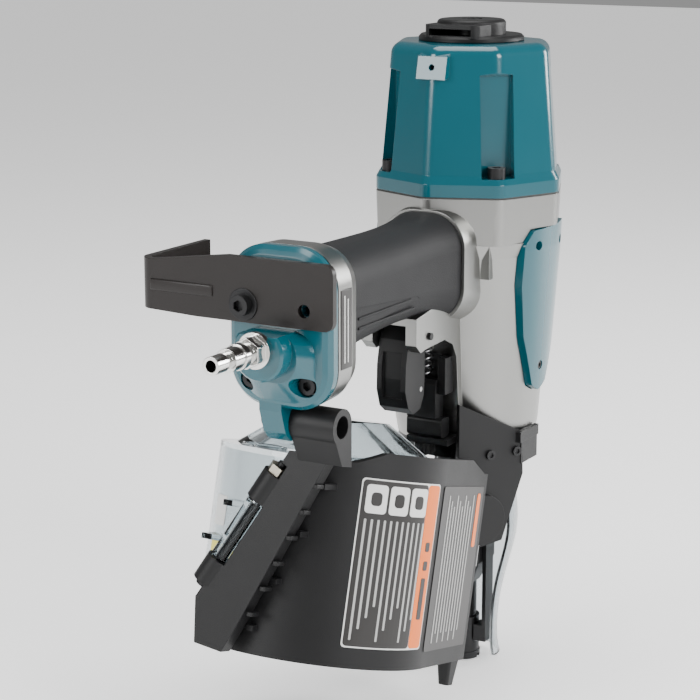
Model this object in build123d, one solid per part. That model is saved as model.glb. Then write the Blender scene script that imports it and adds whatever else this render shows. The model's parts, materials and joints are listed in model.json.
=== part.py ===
from build123d import *
import math
import os

# Pneumatic coil nailer, millimetres.
# +Z runs up the drive axis from the contact tip, +X points away from the handle, +Y is the user's left.

# Drive axis and power head
body_top = 285.0
body_floor = 142.0
floor_thickness = 9.0
head_vertex_radius = 56.0
head_corner_round = 9.0
flange_height = 26.0
barrel_radius_top = 49.0
barrel_radius_low = 40.5
barrel_wall = 4.5
bore_radius = 25.0
sleeve_wall = 3.0
sleeve_top = 282.0
gasket_thickness = 1.0
cap_skirt_height = 10.0
cap_body_radius = 53.5
cap_top_radius = 47.0
cap_top = 368.5
cap_wall = 4.5
cap_shoulder = 7.0
exhaust_port_radius = 2.8
exhaust_ring = 12.7
deflector_radius = 29.8
deflector_height = 11.5
head_bolt_circle = 47.0
head_bolt_radius = 3.0
bolt_clearance = 0.2
slide_clearance = 0.3
running_clearance = 0.05

# Piston and head valve
piston_thickness = 14.0
piston_rest_top = 279.0
bumper_height = 18.0
driver_radius = 3.2
driver_length = 160.0
valve_ring_height = 14.0

# Handle
handle_z = 250.0
tube_width = 33.0
tube_height = 42.0
tube_wall = 3.5
grip_start = -57.0
grip_end = -178.0
flange_end = -200.0
end_width = 60.0
end_height = 82.0
end_z = 241.0
end_round = 21.0
cap_plate_end = -208.5
inlet_z = 234.0
inlet_face = -228.0

# Belt hook
hook_thickness = 3.6
hook_low = 243.0
hook_high = 276.0
hook_bend_low = 244.0
hook_bend_high = 270.0
hook_right = -34.0
hook_left = 81.5
hook_tip = -151.0
hook_bolt_y = 17.5
hook_bolt_z = 252.0

# Trigger
trigger_pivot = (-80.0, 0.0, 214.0)
trigger_half_width = 9.0
cheek_gap = 10.3
cheek_outer = 17.0
trigger_pin_radius = 2.0
valve_x = -66.0
linkage_x = -52.4
spring_top = 214.0
spring_socket_radius = 4.8

# Nose
guide_width = 28.0
guide_front = 15.0
guide_rear = -13.0
guide_low = 62.0
tip_outer = 7.6
tip_low = 16.0
drive_channel_radius = 4.0
foot_bore = 8.0
foot_radius = 10.0
foot_height = 26.0

# Magazine, in its own tilted frame: u towards the nose, v to the left, w up the canister
tilt = 15.5
mag_origin = (-146.0, 19.0, 49.0)
can_radius = 64.0
can_height = 106.0
can_wall = 3.0
base_height = 9.0
case_front = 73.0
case_wall_v = -57.0
parting_gap = 0.6
hood_height = 20.0
hinge_top = (-72.0, -6.0, 95.0)
hinge_low = (-72.0, 28.0, 34.0)
hinge_radius = 2.5
knuckle_radius = 7.0

mag_plane = Plane(
    origin=mag_origin,
    x_dir=(math.cos(math.radians(tilt)), 0, -math.sin(math.radians(tilt))),
    z_dir=(math.sin(math.radians(tilt)), 0, math.cos(math.radians(tilt))),
)
corner_angles = (45, 135, 225, 315)


def mag_point(u, v, w):
    # A point of the magazine's frame, in the tool's frame.
    return mag_plane.from_local_coords(Vector(u, v, w))


def block(x0, x1, y0, y1, z0, z1):
    return Pos((x0 + x1) / 2, (y0 + y1) / 2, (z0 + z1) / 2) * Box(x1 - x0, y1 - y0, z1 - z0)


def rod(start, end, radius):
    # A round bar between two points.
    start = Vector(start)
    end = Vector(end)
    return extrude(Plane(origin=start, z_dir=end - start) * Circle(radius), (end - start).length)


def ring(outer, inner, low, high):
    shape = rod((0, 0, low), (0, 0, high), outer)
    return shape - rod((0, 0, low - 1), (0, 0, high + 1), inner)


def turned(profile):
    # A solid turned about Z from (radius, height) points.
    face = make_face(Polyline(*[(r, 0, z) for r, z in profile], close=True))
    return revolve(face, Axis.Z)


def side_plate_of(points, y0, y1):
    # A plate cut to (x, z) points, between two distances to the left.
    face = make_face(Polyline(*[(x, y0, z) for x, z in points], close=True))
    return extrude(face, y1 - y0, dir=(0, 1, 0))


def section_at_x(x, z, width, height, radius):
    plane = Plane(origin=(x, 0, z), x_dir=(0, 1, 0), z_dir=(1, 0, 0))
    return plane * RectangleRounded(width, height, radius)


def octagon_at(z, radius, corner):
    shape = RegularPolygon(radius, 8)
    return Pos(0, 0, z) * fillet(shape.vertices(), corner)


def socket_bolt(seat, outward, radius, length, head_radius=None, head_height=None):
    # A socket head cap screw whose head stands on its seat and whose shank runs the other way.
    head_radius = head_radius or radius * 1.67
    head_height = head_height or radius * 2.0
    plane = Plane(origin=seat, z_dir=outward)
    head = extrude(plane * Circle(head_radius), head_height)
    shank = extrude(plane * Circle(radius), -length)
    socket = extrude(plane.offset(head_height * 0.45) * RegularPolygon(radius, 6), head_height)
    return head + shank - socket


def helix_spring(low, high, radius, wire, turns):
    # A compression spring standing on Z.
    height = high - low - 2 * wire
    path = Helix(height / turns, height, radius)
    profile = Plane(origin=path @ 0, z_dir=path % 0) * Circle(wire)
    return Pos(0, 0, low + wire) * sweep(profile, path)


def head_bolt_places(z):
    places = []
    for angle in corner_angles:
        turn = math.radians(angle)
        places.append((head_bolt_circle * math.cos(turn), head_bolt_circle * math.sin(turn), z))
    return places


def head_bolt_columns(low, high, radius):
    columns = [rod((x, y, low), (x, y, high), radius) for x, y, z in head_bolt_places(0)]
    return columns[0] + columns[1:]


# ---- power head ----

cap_low = body_top + gasket_thickness
bolt_seat = cap_low + cap_skirt_height
deflector_low = cap_top
cavity_radius = barrel_radius_top - barrel_wall + 2.5
sleeve_outer = bore_radius + sleeve_wall
valve_low = sleeve_top
valve_outer = sleeve_outer + 6.0
valve_guide_radius = valve_outer + slide_clearance
flange_low = body_top - flange_height


def barrel_outer():
    flange = loft([octagon_at(flange_low, head_vertex_radius - 1, head_corner_round),
                   octagon_at(body_top, head_vertex_radius, head_corner_round)])
    barrel = turned([(0, body_floor), (barrel_radius_low, body_floor),
                     (barrel_radius_low + 1.3, body_floor + 8),
                     (barrel_radius_top, flange_low - 8), (barrel_radius_top + 3, flange_low + 0.5),
                     (0, flange_low + 0.5)])
    return flange + barrel


def barrel_inner():
    low = body_floor + floor_thickness
    return turned([(0, low), (barrel_radius_low - barrel_wall, low),
                   (barrel_radius_top - barrel_wall, flange_low - 8),
                   (cavity_radius, flange_low + 4), (cavity_radius, body_top + 1), (0, body_top + 1)])


web_rear = -95.0
web_low = 164.0
pocket_top = 207.5


def trigger_web():
    # The cast web below the grip root: two cheeks beside the trigger pocket, closed towards the barrel.
    outline = [(-30, web_low), (-44, web_low), (-47, 196), (-52, 204), (-62, 208.5), (-84, 207.5),
               (-90, 206.5), (web_rear, 211), (web_rear, 226), (-30, 236)]
    return side_plate_of(outline, -cheek_outer, cheek_outer)


def trigger_slot():
    return block(web_rear - 1, -57, -cheek_gap, cheek_gap, pocket_top - 20, 221.5)


def handle_root():
    inner_end = section_at_x(-38, 247, 55, 68, 20)
    outer_end = section_at_x(grip_start + 0.5, 248, 52, 62, 20)
    return loft([inner_end, outer_end])


def handle_tube():
    return extrude(section_at_x(grip_end, handle_z, tube_width, tube_height, 15), -grip_end - 30)


def handle_flange():
    small = section_at_x(grip_end, end_z, end_width - 6, end_height - 6, end_round - 2)
    large = section_at_x(grip_end - 8, end_z, end_width - 1, end_height - 1, end_round)
    last = section_at_x(flange_end, end_z, end_width, end_height, end_round)
    return loft([small, large]) + loft([large, last])


def air_passage():
    bore = section_at_x(-190, handle_z, tube_width - 2 * tube_wall, tube_height - 2 * tube_wall, 11)
    tube = extrude(bore, 150)
    chamber = extrude(section_at_x(flange_end - 1, end_z, end_width - 14, end_height - 34, 16), 14)
    return tube + chamber


end_bolt_places = ((16.5, 213.5), (-16.5, 213.5), (21.5, 268.5), (-21.5, 268.5))
end_bolt_radius = 2.5
plate_screw_places = ((-14, 257), (14, 257), (-3, 186))
valve_body_radius = 7.5
valve_low_z = 211.0
nose_bolt_circle = 32.0
nose_bolt_radius = 2.5


def plate_screw_spots(side):
    spots = []
    for x, z in plate_screw_places:
        spots.append((x, side, z))
    return spots


def body_housing():
    shape = barrel_outer() + trigger_web() + handle_root() + handle_tube() + handle_flange()
    # stepped bosses either side of the handle root
    for side in (-1, 1):
        y0, y1 = sorted((side * 16, side * 33))
        shape += block(-40, -18, y0, y1, 240, 262)
    shape -= trigger_slot()
    shape -= rod((linkage_x, 0, 180), (linkage_x, 0, spring_top), spring_socket_radius)
    shape -= barrel_inner()
    shape -= air_passage()
    shape += head_bolt_columns(body_top - 24, body_top, 8.0) & barrel_outer()
    rib = ring(barrel_radius_low + 3, sleeve_outer + running_clearance, 200, 205)
    shape += rib
    shape -= head_bolt_columns(body_top - 20, body_top + 1, head_bolt_radius + bolt_clearance)
    # seats for the side plates
    for side in (-1, 1):
        y0, y1 = sorted((side * plate_inner, side * 70))
        shape -= plate_blank(0.4, y0, y1)
        for x, y, z in plate_screw_spots(side * plate_inner):
            shape -= rod((x, y + side, z), (x, y - side * 6, z), 1.25 + bolt_clearance)
    for y, z in end_bolt_places:
        shape -= rod((flange_end - 1, y, z), (flange_end + 16, y, z), end_bolt_radius + bolt_clearance)
    shape -= rod((valve_x, 0, valve_low_z - 5), (valve_x, 0, valve_low_z + 24),
                 valve_body_radius + running_clearance)
    shape -= rod((trigger_pivot[0], -30, trigger_pivot[2]), (trigger_pivot[0], 30, trigger_pivot[2]),
                 trigger_pin_radius + running_clearance)
    shape -= rod((0, 0, body_floor - 1), (0, 0, body_floor + floor_thickness + 1), 12.2)
    for angle in corner_angles:
        turn = math.radians(angle)
        x = nose_bolt_circle * math.cos(turn)
        y = nose_bolt_circle * math.sin(turn)
        shape -= rod((x, y, body_floor - 1), (x, y, body_floor + 8), nose_bolt_radius + bolt_clearance)
    return shape


plate_corner = 3.0
plate_inner = 41.0


def plate_outline(extra):
    # A shield: wide under the flange, running down to a blunt point.
    e = extra
    return [(-24 - e, 258 + e), (-18 - e, 266 + e), (20 + e, 268 + e), (27 + e, 260 + e), (25 + e, 230),
            (18 + e, 200), (6 + e, 175 - e), (-3, 171 - e), (-10 - e, 175 - e), (-20 - e, 205),
            (-24 - e, 235)]


def plate_blank(extra, y0, y1):
    blank = side_plate_of(plate_outline(extra), y0, y1)
    return fillet(blank.edges().filter_by(Axis.Y), plate_corner)


def side_plate(side):
    y0, y1 = sorted((side * plate_inner, side * 54.5))
    blank = plate_blank(0, y0, y1)
    # outer face follows the barrel, a little proud of it
    skin = turned([(0, 165), (barrel_radius_low + 6.4, 165), (barrel_radius_top + 4.0, flange_low - 4),
                   (barrel_radius_top + 4.5, 272), (0, 272)])
    shape = blank & skin
    for x, y, z in plate_screw_spots(side * plate_inner):
        shape -= rod((x, y - side, z), (x, y + side * 16, z), 1.25 + bolt_clearance)
        shape -= rod((x, side * 46.5, z), (x, side * 60, z), 2.6)
    return shape


def plate_screws():
    screws = []
    for side in (-1, 1):
        for x, y, z in plate_screw_spots(side * 46.5):
            screws.append(socket_bolt((x, y, z), (0, side, 0), 1.25, 9.0, 2.2, 1.4))
    return screws[0] + screws[1:]


def cylinder_sleeve():
    low = body_floor + floor_thickness
    return ring(sleeve_outer, bore_radius, low, sleeve_top)


def piston_bumper():
    low = body_floor + floor_thickness
    return turned([(9, low), (bore_radius - 0.3, low), (bore_radius - 0.3, low + bumper_height - 6),
                   (bore_radius - 3, low + bumper_height), (9, low + bumper_height)])


def head_gasket():
    outer = extrude(octagon_at(body_top, head_vertex_radius - 0.6, head_corner_round), gasket_thickness)
    shape = outer - rod((0, 0, body_top - 1), (0, 0, body_top + 3), cavity_radius - 1.5)
    return shape - head_bolt_columns(body_top - 1, body_top + 3, head_bolt_radius + bolt_clearance)


def cap_outer():
    skirt = extrude(octagon_at(cap_low, head_vertex_radius, head_corner_round), cap_skirt_height - 3)
    bevel = loft([octagon_at(bolt_seat - 3, head_vertex_radius, head_corner_round),
                  octagon_at(bolt_seat + 1.5, cap_body_radius, head_corner_round)])
    body = loft([octagon_at(bolt_seat + 1.5, cap_body_radius, head_corner_round),
                 octagon_at(cap_top, cap_top_radius, head_corner_round)])
    rim = body.faces().sort_by(Axis.Z)[-1].edges()
    return skirt + bevel + fillet(rim, cap_shoulder)


def cap_pocket(angle):
    # The tall recess that gives a tool its way to a head bolt.
    half_width = 9.5
    near = head_bolt_circle - 5.7
    far = head_bolt_circle + 20
    seat = block(near, far, -half_width, half_width, bolt_seat, cap_top - 17)
    sloped = side_plate_of([(near, cap_top - 17.1), (far, cap_top - 17.1), (far, cap_top - 8)],
                           -half_width, half_width)
    return Rot(0, 0, angle) * (seat + sloped)


def vent_boss():
    # A squared boss with a small breather hole, high on the rear of the cap.
    shape = side_plate_of([(-30, 353), (-49.6, 350), (-46.8, 362.5), (-40, 365.5), (-30, 366)], -9, 9)
    return shape


def head_cap():
    inner = turned([(0, cap_low - 1), (cavity_radius, cap_low - 1), (cavity_radius - 1, bolt_seat + 12),
                    (40, cap_top - 22), (34, cap_top - cap_wall - 2), (0, cap_top - cap_wall - 2)])
    shell = cap_outer() - inner
    columns = head_bolt_columns(cap_low, cap_top - 12, 12.5) & cap_outer()
    guide = ring(valve_guide_radius + 4, valve_guide_radius, valve_low + 10, cap_top - cap_wall)
    shape = shell + columns + guide
    for angle in corner_angles:
        shape -= cap_pocket(angle)
    shape -= head_bolt_columns(cap_low - 1, bolt_seat + 1, head_bolt_radius + bolt_clearance)
    shape += vent_boss() - inner - rod((0, 0, 300), (0, 0, 400), 33)
    shape -= rod((-52, 0, 356.5), (-38, 0, 356.5), 1.7)
    shape -= rod((0, 0, cap_top - 20), (0, 0, cap_top + 1), 3.0 + bolt_clearance)
    for turn in range(0, 360, 60):
        x = exhaust_ring * math.cos(math.radians(turn))
        y = exhaust_ring * math.sin(math.radians(turn))
        shape -= rod((x, y, cap_top - 20), (x, y, cap_top + 1), exhaust_port_radius)
    return shape


def head_bolts():
    bolts = []
    for place in head_bolt_places(bolt_seat):
        bolts.append(socket_bolt(place, (0, 0, 1), head_bolt_radius, 28, 5.0, 6.0))
    return bolts[0] + bolts[1:]


def exhaust_deflector():
    # A turning vent cover: a round foot, a raised hood with one side outlet, a clear centre for its screw.
    low = deflector_low + 0.3
    foot = rod((0, 0, low), (0, 0, low + 3.2), deflector_radius)
    foot = chamfer(foot.edges().sort_by(Axis.Z)[-1:], 1.4)
    hood = rod((0, 0, low + 2), (0, 0, low + deflector_height), 19.5)
    hood = fillet(hood.edges().sort_by(Axis.Z)[-1:], 2.5)
    outlet = block(-27, 0, -17, 17, low + 2, low + deflector_height - 2.2)
    outlet = fillet(outlet.edges().filter_by(Axis.Z), 5)
    lug = rod((21, 0, low + 2), (21, 0, low + 7.5), 7)
    shape = foot + hood + outlet + lug
    shape -= ring(17, 8.5, low - 1, low + deflector_height - 4.5)
    shape -= block(-35, -12, -13, 13, low + 3.4, low + deflector_height - 4.5)
    shape -= rod((0, 0, low - 1), (0, 0, low + 30), 3.0 + running_clearance)
    shape -= rod((0, 0, low + deflector_height - 3.5), (0, 0, low + 30), 6.2)
    return shape


def deflector_screw():
    seat = (0, 0, deflector_low + 0.3 + deflector_height - 3.3)
    return socket_bolt(seat, (0, 0, 1), 3.0, 9.0 + 0.2, 5.2, 3.0)



def piston():
    low = piston_rest_top - piston_thickness
    rim = bore_radius - 0.6
    groove = bore_radius - 3
    return turned([(0, low), (rim, low), (rim, low + 4), (groove, low + 4), (groove, low + 9), (rim, low + 9),
                   (rim, piston_rest_top), (0, piston_rest_top)])


def piston_ring():
    low = piston_rest_top - piston_thickness
    return ring(bore_radius - 0.05, bore_radius - 3, low + 4, low + 9)


def driver_blade():
    high = piston_rest_top - piston_thickness
    return rod((0, 0, high - driver_length), (0, 0, high), driver_radius)


def head_valve():
    low = valve_low
    high = low + valve_ring_height
    return turned([(bore_radius + 0.6, low), (valve_outer - 0.3, low), (valve_outer - 0.3, low + 3),
                   (valve_outer - 0.3, high), (bore_radius - 6, high), (bore_radius - 6, high - 4),
                   (bore_radius + 0.6, high - 5)])


def head_valve_spring():
    low = valve_low + valve_ring_height + 0.2
    return helix_spring(low, cap_top - cap_wall - 2.2, bore_radius - 2, 1.4, 6)


# ---- handle end ----

hook_inner_face = cap_plate_end - 0.4
hook_outer_face = hook_inner_face - hook_thickness
lug_x = -191.5
lug_z = 190.0
lug_left = 12.0
lug_right = -1.0
lug_bolt_radius = 3.0


def end_cap():
    plate = extrude(section_at_x(flange_end - gasket_thickness, end_z, end_width, end_height, end_round), -4)
    dome = loft([section_at_x(flange_end - gasket_thickness - 4, end_z, end_width, end_height, end_round),
                 section_at_x(cap_plate_end + 1.2, end_z, end_width - 4, end_height - 4, end_round - 2),
                 section_at_x(cap_plate_end, end_z, end_width - 9, end_height - 9, end_round - 4)], ruled=True)
    shape = plate + dome
    # swelling around the air inlet
    swell = loft([section_at_x(cap_plate_end + 1, 222, 44, 38, 14), section_at_x(-219, 229, 34, 26, 12)])
    neck = rod((-210, 0, inlet_z - 2), (inlet_face, 0, inlet_z - 2), 14.5)
    neck = chamfer(neck.faces().sort_by(Axis.X)[0].edges(), 1.2)
    room_for_hook = block(-260, cap_plate_end - 0.01, -60, 60, hook_low - 2.0, 300)
    shape += (swell + neck) - room_for_hook
    # two bosses for the belt hook
    for y in (-hook_bolt_y, hook_bolt_y):
        shape += rod((cap_plate_end + 1, y, hook_bolt_z), (hook_inner_face, y, hook_bolt_z), 9)
    # lug that carries the magazine bracket
    lug_top = end_z - end_height / 2 - 0.6
    plate_x = flange_end - gasket_thickness - 0.2
    lug = side_plate_of([(cap_plate_end + 1, lug_top + 12), (plate_x, lug_top + 12), (plate_x, lug_top),
                         (lug_x + 9, lug_top), (lug_x + 10, lug_z + 5), (lug_x + 10, lug_z - 6),
                         (lug_x + 6, lug_z - 9), (lug_x - 7, lug_z - 9), (lug_x - 12, lug_z - 4),
                         (cap_plate_end + 1, lug_z + 8)],
                        lug_right, lug_left)
    shape += lug
    cavity = extrude(section_at_x(flange_end + 1, end_z, end_width - 26, end_height - 46, 13), -6)
    shape -= cavity
    shape -= rod((-190, 0, inlet_z), (inlet_face - 1, 0, inlet_z), inlet_bore_radius + bolt_clearance)
    shape -= rod((lug_x, -10, lug_z), (lug_x, 20, lug_z), lug_bolt_radius + bolt_clearance)
    for y in (-hook_bolt_y, hook_bolt_y):
        shape -= rod((cap_plate_end + 7, y, hook_bolt_z), (hook_inner_face - 1, y, hook_bolt_z),
                     hook_bolt_radius + bolt_clearance)
    for y, z in end_bolt_places:
        shape -= rod((flange_end + 1, y, z), (-260, y, z), end_bolt_radius + bolt_clearance)
        shape -= rod((end_bolt_seat, y, z), (-260, y, z), 5.6)
    return shape


inlet_bore_radius = 6.0
hook_bolt_radius = 3.0
end_bolt_seat = -203.4


def end_cap_gasket():
    sheet = section_at_x(flange_end, end_z, end_width - 2, end_height - 2, end_round - 1)
    shape = extrude(sheet, -gasket_thickness)
    shape -= extrude(section_at_x(flange_end + 1, end_z, end_width - 26, end_height - 46, 13), -6)
    for y, z in end_bolt_places:
        shape -= rod((flange_end + 1, y, z), (-203, y, z), end_bolt_radius + bolt_clearance)
    return shape


def end_cap_bolts():
    bolts = [socket_bolt((end_bolt_seat, y, z), (-1, 0, 0), end_bolt_radius, 18.5, 4.6, 5.0)
             for y, z in end_bolt_places]
    return bolts[0] + bolts[1:]


plug_tip = -268.0
plug_tip_radius = 4.65
plug_bore_radius = 3.0


def air_plug():
    # Quick-connect nipple: washer collar, hexagon, waist, shoulder, groove and tip, bored through.
    def bar(x0, x1, radius):
        return rod((x0, 0, inlet_z), (x1, 0, inlet_z), radius)
    shape = bar(inlet_face + 16, inlet_face, inlet_bore_radius)
    shape += bar(inlet_face, inlet_face - 3, 9.2)
    hexagon = Plane(origin=(inlet_face - 3, 0, inlet_z), z_dir=(-1, 0, 0)) * RegularPolygon(8.1, 6)
    shape += extrude(hexagon, 7) & bar(inlet_face - 2, inlet_face - 11, 7.8)
    shape += bar(inlet_face - 10, inlet_face - 17, 5.2)
    shape += bar(inlet_face - 14.5, inlet_face - 18.5, 6.6)
    shape += bar(inlet_face - 18, inlet_face - 27, 6.0)
    shape += bar(inlet_face - 27, inlet_face - 33, 4.0)
    shape += bar(inlet_face - 31, plug_tip, plug_tip_radius)
    shape -= rod((inlet_face + 20, 0, inlet_z), (plug_tip - 1, 0, inlet_z), plug_bore_radius)
    return shape


def belt_hook():
    # A flat bar bent once: the long leg is screwed to the cap, the short leg runs back beside the tool.
    outer_x = hook_outer_face
    inner_x = hook_inner_face
    bend = 9.0
    long_leg = block(outer_x, inner_x, hook_right, hook_left - bend, hook_low, hook_high)
    short_leg = block(outer_x + bend, hook_tip, hook_left - hook_thickness, hook_left, hook_bend_low - 1,
                      hook_bend_high + 1)
    centre = (outer_x + bend, hook_left - bend)
    elbow = ring(bend, bend - hook_thickness, hook_low, hook_high)
    elbow = elbow & block(-bend - 1, 0, 0, bend + 1, hook_low, hook_high)
    shape = long_leg + short_leg + Pos(centre[0], centre[1], 0) * elbow
    # the bar narrows towards the bend
    trim_high = make_face(Polyline((0, 20, hook_high + 1), (0, 90, hook_high + 1), (0, 90, hook_bend_high),
                                   (0, hook_left - bend, hook_bend_high), close=True))
    trim_low = make_face(Polyline((0, 20, hook_low - 1), (0, 90, hook_low - 1), (0, 90, hook_bend_low),
                                  (0, hook_left - bend, hook_bend_low), close=True))
    for face in (trim_high, trim_low):
        shape -= Pos(outer_x - 5, 0, 0) * extrude(face, 90, dir=(1, 0, 0))
    for y in (-hook_bolt_y, hook_bolt_y):
        shape -= rod((inner_x + 1, y, hook_bolt_z), (outer_x - 1, y, hook_bolt_z), hook_bolt_radius + 0.4)
    corners = shape.edges().filter_by(Axis.X).filter_by_position(Axis.Y, hook_right - 0.1, hook_right + 0.1)
    return fillet(corners, 5)


def hook_bolt():
    seat = (hook_outer_face, hook_bolt_y, hook_bolt_z)
    return socket_bolt(seat, (-1, 0, 0), hook_bolt_radius, 9.5, 5.4, 5.0)


def grip_sleeve():
    sections = [section_at_x(grip_end + 0.3, 247.5, 44, 57, 19), section_at_x(-150, 248.5, 42.5, 53, 18),
                section_at_x(-105, 249.5, 41, 50, 17), section_at_x(-75, 249, 43, 53, 17),
                section_at_x(grip_start, 248, 48, 60, 19)]
    shape = loft(sections)
    shape -= extrude(section_at_x(grip_end - 5, handle_z, tube_width, tube_height, 15), 140)
    # shallow side panels
    for side in (-1, 1):
        y0, y1 = sorted((side * 20.2, side * 40))
        panel = side_plate_of([(-168, 246), (-100, 240), (-88, 231), (-168, 231)], y0, y1)
        shape -= panel
    shape -= rod((valve_x, 0, valve_low_z - 10), (valve_x, 0, valve_low_z + 24), valve_body_radius + 0.4)
    return shape - trigger_web()


# ---- trigger group ----

def trigger():
    px, py, pz = trigger_pivot
    outline = [(px + 4.4, pz + 2), (px + 3, pz + 5), (px - 4, pz + 5), (px - 9, pz - 2), (px - 12, pz - 16),
               (px - 12.5, pz - 30), (px - 9, pz - 40), (px - 3, pz - 44.5), (px + 5, pz - 43),
               (px + 9, pz - 36), (px + 10, pz - 26), (px + 10, pz - 10), (px + 5, pz - 6)]
    shape = side_plate_of(outline, -trigger_half_width, trigger_half_width)
    shape = fillet(shape.edges().filter_by(Axis.Y), 1.5)
    # the front is open for the lever, the rear is dished for the finger
    shape -= side_plate_of([(px - 4, pz - 4), (px + 20, pz - 4), (px + 20, pz - 36), (px - 6, pz - 36),
                            (px - 8, pz - 22)], -5.5, 5.5)
    shape -= side_plate_of([(px - 30, pz - 9), (px - 9, pz - 9), (px - 10, pz - 24), (px - 9, pz - 35),
                            (px - 30, pz - 35)], -6, 6)
    shape -= rod((px, -20, pz), (px, 20, pz), trigger_pin_radius + running_clearance)
    lx, ly, lz = lever_pivot
    shape -= rod((lx, -20, lz), (lx, 20, lz), lever_pin_radius)
    return shape


lever_pivot = (-74.0, 0.0, 182.0)
lever_pin_radius = 1.5


def trigger_lever():
    # Thin rocker inside the trigger, with its own pin.
    lx, ly, lz = lever_pivot
    px, py, pz = trigger_pivot
    blade = side_plate_of([(lx - 3, lz - 2), (lx + 3, lz - 3), (lx + 5.5, lz + 8), (px + 17, pz - 9.5),
                           (px + 17, pz - 7.6), (px + 7, pz - 7.6), (lx - 2, lz + 8)], -2.6, 2.6)
    return blade + rod((lx, -8.9, lz), (lx, 8.9, lz), lever_pin_radius - running_clearance)


def trigger_pin():
    px, py, pz = trigger_pivot
    return rod((px, -cheek_outer - 1.5, pz), (px, cheek_outer + 0.4, pz), trigger_pin_radius)


def lock_lever():
    # Small lever on the left cheek that blocks the trigger.
    px, py, pz = trigger_pivot
    y0 = cheek_outer + 0.6
    hub = rod((px, y0, pz), (px, y0 + 4, pz), 5.0)
    handle = block(px - 13, px, y0, y0 + 3.2, pz - 3.4, pz + 3.4)
    knob = rod((px - 11, y0 + 2, pz), (px - 11, y0 + 15, pz), 3.2)
    return hub + handle + knob


def valve_housing():
    low = valve_low_z
    high = low + 22
    shape = turned([(2.2, low), (valve_body_radius, low), (valve_body_radius, high), (2.2, high),
                    (2.2, high - 5), (5.0, high - 5), (5.0, low + 5), (2.2, low + 5)])
    return Pos(valve_x, 0, 0) * shape


valve_stem_low = 207.3


def valve_stem():
    shape = turned([(0, valve_stem_low), (1.6, valve_stem_low), (1.6, valve_low_z + 6),
                    (4.2, valve_low_z + 6), (4.2, valve_low_z + 9), (1.6, valve_low_z + 9),
                    (1.6, valve_low_z + 16), (0, valve_low_z + 16)])
    return Pos(valve_x, 0, 0) * shape


def valve_spring():
    return Pos(valve_x, 0, 0) * helix_spring(valve_low_z + 9.1, valve_low_z + 16.9, 3.2, 0.5, 4)


# ---- nose ----

def nose_bolt_places(z):
    return [(nose_bolt_circle * math.cos(math.radians(a)), nose_bolt_circle * math.sin(math.radians(a)), z)
            for a in corner_angles]


nose_flange_thickness = 8.0


def driver_guide():
    # Flange under the body, guide block, and the slim tip that the contact foot slides on.
    high = body_floor
    flange = rod((0, 0, high - nose_flange_thickness), (0, 0, high), barrel_radius_low - 0.5)
    spigot = rod((0, 0, high), (0, 0, high + floor_thickness - 0.5), 12.0)
    column = block(guide_rear, guide_front, -guide_width / 2, guide_width / 2, guide_low, high - 4)
    column = fillet(column.edges().filter_by(Axis.Z), 4)
    taper = loft([Pos(1, 0, guide_low) * RectangleRounded(guide_front - guide_rear, guide_width, 4),
                  Pos(0, 0, guide_low - 14) * RectangleRounded(16, 16, 4)])
    tip = rod((0, 0, tip_low), (0, 0, guide_low), tip_outer)
    shape = flange + spigot + column + taper + tip
    shape -= rod((0, 0, tip_low - 1), (0, 0, high + 20), drive_channel_radius)
    # slot that lets each nail slide in from the magazine
    shape -= block(guide_rear - 5, 0, -drive_channel_radius, drive_channel_radius, 30, 112)
    for x, y, z in nose_bolt_places(0):
        shape -= rod((x, y, high - 12), (x, y, high + 1), nose_bolt_radius + bolt_clearance)
        shape -= rod((x, y, high - 60), (x, y, high - nose_flange_thickness), 5.2)
    for place in cover_screw_spots():
        shape -= rod(place, place - cover_plane.z_dir * 11, cover_screw_radius + bolt_clearance)
    return shape


def nose_bolts():
    seat = body_floor - nose_flange_thickness
    bolts = []
    for place in nose_bolt_places(seat):
        bolts.append(socket_bolt(place, (0, 0, -1), nose_bolt_radius, 14, 4.5, 5.0))
    return bolts[0] + bolts[1:]


cover_distance = 46.0
cover_thickness = 2.6
cover_turn = 240.0
cover_facing = (math.cos(math.radians(cover_turn)), math.sin(math.radians(cover_turn)))
cover_plane = Plane(
    origin=(cover_distance * cover_facing[0], cover_distance * cover_facing[1], 0),
    x_dir=(-cover_facing[1], cover_facing[0], 0),
    z_dir=(cover_facing[0], cover_facing[1], 0),
)


def cover_panel(points, depth):
    # Points are (sideways, height) on the cover's outer face; depth runs inwards.
    face = cover_plane * make_face(Polyline(*points, close=True))
    return extrude(face, -depth)


def nose_cover():
    # Moulded cover beside the nose: a flat panel tangent to the barrel, a short front return and a top lip.
    outline = [(-35, 170), (8, 149), (9, 124), (-5, 86), (-19, 84), (-26, 95), (-26, 134), (-35, 139)]
    panel = cover_panel(outline, cover_thickness)
    corner = cover_plane.from_local_coords(Vector(8, 0, 0))
    front = block(corner.X - 1, 4, corner.Y - 0.2, corner.Y + cover_thickness, 130, 149)
    lip = block(-20, 4, corner.Y - 1.0, corner.Y + cover_thickness, 143, 149)
    boss = cover_plane * Pos(-20, 101, 0) * Cylinder(14.5, 7)
    shape = panel + front + lip + boss
    shape -= turned([(0, 128), (barrel_radius_low + 0.3, 128), (barrel_radius_low + 1.8, body_floor + 8),
                     (barrel_radius_low + 4.2, body_floor + 42), (0, body_floor + 42)])
    shape -= block(-60, 40, -18.6, 60, 60, 180)
    for place in cover_screw_spots():
        shape -= rod(place + cover_plane.z_dir, place - cover_plane.z_dir * 12,
                     cover_screw_radius + bolt_clearance)
    return shape


cover_screw_radius = 1.5
cover_screw_places = ((-14.0, 138.0), (4.0, 138.0))


def cover_screw_spots():
    return [cover_plane.from_local_coords(Vector(x, z, 0)) for x, z in cover_screw_places]


def nose_cover_screws():
    screws = []
    for place in cover_screw_spots():
        screws.append(socket_bolt(place, cover_plane.z_dir, cover_screw_radius, 10, 2.8, 1.6))
    return screws[0] + screws[1:]


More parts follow.
